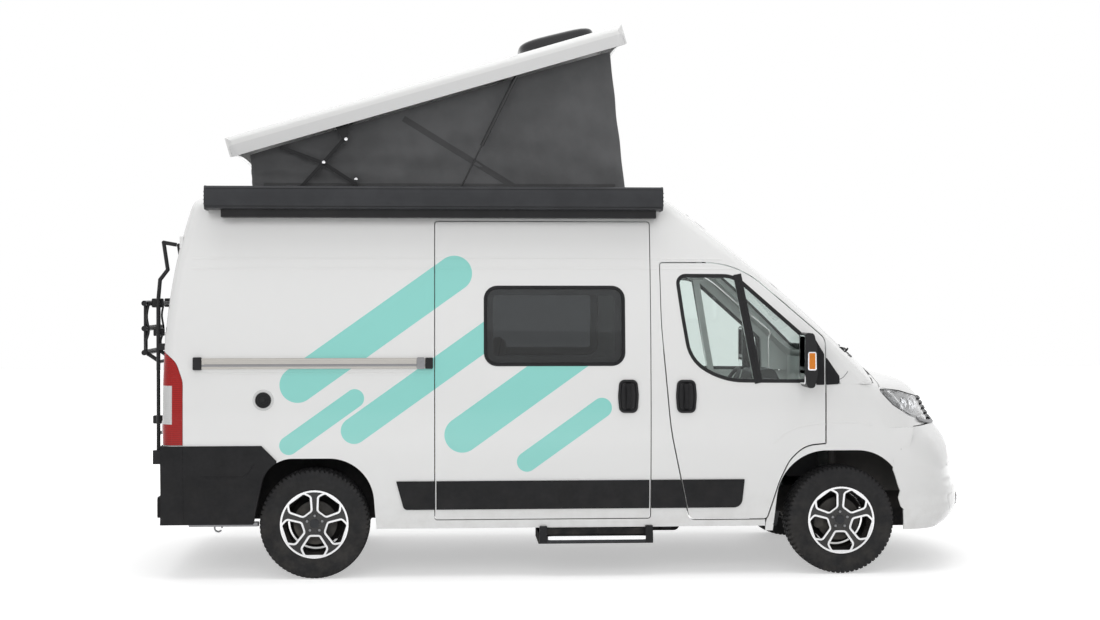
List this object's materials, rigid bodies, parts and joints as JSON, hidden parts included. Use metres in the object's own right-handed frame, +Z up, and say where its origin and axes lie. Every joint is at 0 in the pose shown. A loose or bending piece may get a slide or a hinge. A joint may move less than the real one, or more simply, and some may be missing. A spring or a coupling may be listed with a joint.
{
  "type": "camper van with a pop-up roof",
  "caption": "Panel van camper with a raised pop-up roof and tent, side awning, sliding side door, rear carrier and hinged doors",
  "frame": {"origin": "on the ground under the middle of the van's box", "axes": "+X forward, +Y to the van's left, +Z up"},
  "size_m": [5.5899, 2.5, 3.6736],
  "materials": {
    "white_paint": "gloss",
    "black_plastic": "textured",
    "glass": "tinted",
    "lamp": "clear lens",
    "anthracite": "anodised",
    "alloy": "machined",
    "rubber": "matt",
    "steel": "satin",
    "cast": "raw",
    "fabric": "woven",
    "upholstery": "woven",
    "wood": "laminate",
    "trim": "grained"
  },
  "bodies": {
    "root": {"floor_pan": "steel", "side_panel_right": "white_paint", "side_panel_left": "white_paint", "roof_panel": "white_paint", "cab_frame": "white_paint", "cowl_panel": "black_plastic", "front_wings": "white_paint", "front_bumper": "white_paint", "grille": "black_plastic", "lamps": "lamp", "rear_bumper": "black_plastic", "fixed_glass": "glass", "sliding_door": "white_paint", "side_trim": "black_plastic", "awning_case": "anthracite", "roof_brackets": "steel", "tent_fabric": "fabric", "dashboard": "trim", "seat_frames": "trim", "seats": "upholstery", "furniture": "wood", "mattress": "upholstery", "engine_block": "cast", "front_subframe": "steel", "rear_axle": "steel", "fuel_tank": "black_plastic", "exhaust": "steel"},
    "front_door_right": {"front_door_right": "white_paint", "front_door_glass_right": "glass", "mirror_right": "black_plastic"},
    "front_door_left": {"front_door_left": "white_paint", "front_door_glass_left": "glass", "mirror_left": "black_plastic"},
    "rear_door_right": {"rear_door_right": "white_paint", "rear_window_right": "glass", "bike_carrier": "steel"},
    "rear_door_left": {"rear_door_left": "white_paint", "rear_window_left": "glass"},
    "bonnet": {"bonnet": "white_paint"},
    "scissor_arms": {"scissor_arms": "steel"},
    "pop_roof": {"pop_roof": "white_paint", "roof_hatch": "black_plastic"},
    "scissor_links": {"scissor_links": "steel"},
    "strut_tubes": {"strut_tubes": "steel"},
    "strut_rods": {"strut_rods": "alloy"},
    "entry_step": {"entry_step": "black_plastic"},
    "knuckle_right": {"knuckle_right": "cast"},
    "knuckle_left": {"knuckle_left": "cast"},
    "wheel_front_right": {"tyre_front_right": "rubber", "rim_front_right": "alloy"},
    "wheel_front_left": {"tyre_front_left": "rubber", "rim_front_left": "alloy"},
    "wheel_rear_right": {"tyre_rear_right": "rubber", "rim_rear_right": "alloy"},
    "wheel_rear_left": {"tyre_rear_left": "rubber", "rim_rear_left": "alloy"}
  },
  "joints": [
    {"name": "front_door_right_hinge", "type": "hinge", "parent": "root", "child": "front_door_right", "pos_m": [1.663, -1.004, 0.9], "axis": [0, 0, 1], "range_deg": [0, 68]},
    {"name": "front_door_left_hinge", "type": "hinge", "parent": "root", "child": "front_door_left", "pos_m": [1.663, 1.004, 0.9], "axis": [0, 0, -1], "range_deg": [0, 68]},
    {"name": "rear_door_right_hinge", "type": "hinge", "parent": "root", "child": "rear_door_right", "pos_m": [-2.645, -0.884, 1.4], "axis": [0, 0, 1], "range_deg": [0, 96]},
    {"name": "rear_door_left_hinge", "type": "hinge", "parent": "root", "child": "rear_door_left", "pos_m": [-2.645, 0.884, 1.4], "axis": [0, 0, -1], "range_deg": [0, 96]},
    {"name": "bonnet_hinge", "type": "hinge", "parent": "root", "child": "bonnet", "pos_m": [2.036, 0, 1.35], "axis": [0, -1, 0], "range_deg": [0, 58]},
    {"name": "scissor_arms_swing", "type": "hinge", "parent": "root", "child": "scissor_arms", "pos_m": [-1.737, 0, 2.54], "axis": [0, 1, 0], "range_deg": [-0.01, 67.52]},
    {"name": "pop_roof_tilt", "type": "hinge", "parent": "scissor_arms", "child": "pop_roof", "pos_m": [-1.44078, 0, 2.87391], "axis": [0, -1, 0], "range_deg": [0, 51.11], "deforming": ["tent_fabric"]},
    {"name": "scissor_links_swing", "type": "hinge", "parent": "scissor_arms", "child": "scissor_links", "pos_m": [-1.585, 0, 2.709], "axis": [0, -1, 0], "range_deg": [-0.01, 81.42]},
    {"name": "strut_tubes_swing", "type": "hinge", "parent": "pop_roof", "child": "strut_tubes", "pos_m": [-0.2995, 0, 3.31717], "axis": [0, 1, 0], "range_deg": [-0.01, 47.36]},
    {"name": "strut_rods_slide", "type": "slide", "parent": "strut_tubes", "child": "strut_rods", "axis": [0.4423, 0, 0.8969], "range_m": [-0.0001, 0.30579]},
    {"name": "entry_step_slide", "type": "slide", "parent": "root", "child": "entry_step", "axis": [0, -1, 0], "range_m": [0, 0.19]},
    {"name": "steering_right", "type": "hinge", "parent": "root", "child": "knuckle_right", "pos_m": [1.821, -0.79, 0.356], "axis": [0, 0, 1], "range_deg": [-35, 35]},
    {"name": "steering_left", "type": "hinge", "parent": "root", "child": "knuckle_left", "pos_m": [1.821, 0.79, 0.356], "axis": [0, 0, 1], "range_deg": [-35, 35]},
    {"name": "wheel_front_right_spin", "type": "hinge", "parent": "knuckle_right", "child": "wheel_front_right", "pos_m": [1.821, -0.888, 0.356], "axis": [0, 1, 0], "continuous": true},
    {"name": "wheel_front_left_spin", "type": "hinge", "parent": "knuckle_left", "child": "wheel_front_left", "pos_m": [1.821, 0.888, 0.356], "axis": [0, 1, 0], "continuous": true},
    {"name": "wheel_rear_right_spin", "type": "hinge", "parent": "root", "child": "wheel_rear_right", "pos_m": [-1.629, -0.888, 0.356], "axis": [0, 1, 0], "continuous": true},
    {"name": "wheel_rear_left_spin", "type": "hinge", "parent": "root", "child": "wheel_rear_left", "pos_m": [-1.629, 0.888, 0.356], "axis": [0, 1, 0], "continuous": true}
  ],
  "couplings": [
    {"joint": "scissor_arms_swing", "follows": "pop_roof_tilt", "ratio": 1.3208},
    {"joint": "scissor_links_swing", "follows": "pop_roof_tilt", "ratio": 1.5928},
    {"joint": "strut_tubes_swing", "follows": "pop_roof_tilt", "ratio": 0.92631},
    {"joint": "strut_rods_slide", "follows": "pop_roof_tilt", "m_per_rad": 0.34265},
    {"joint": "steering_left", "follows": "steering_right", "ratio": 1}
  ]
}
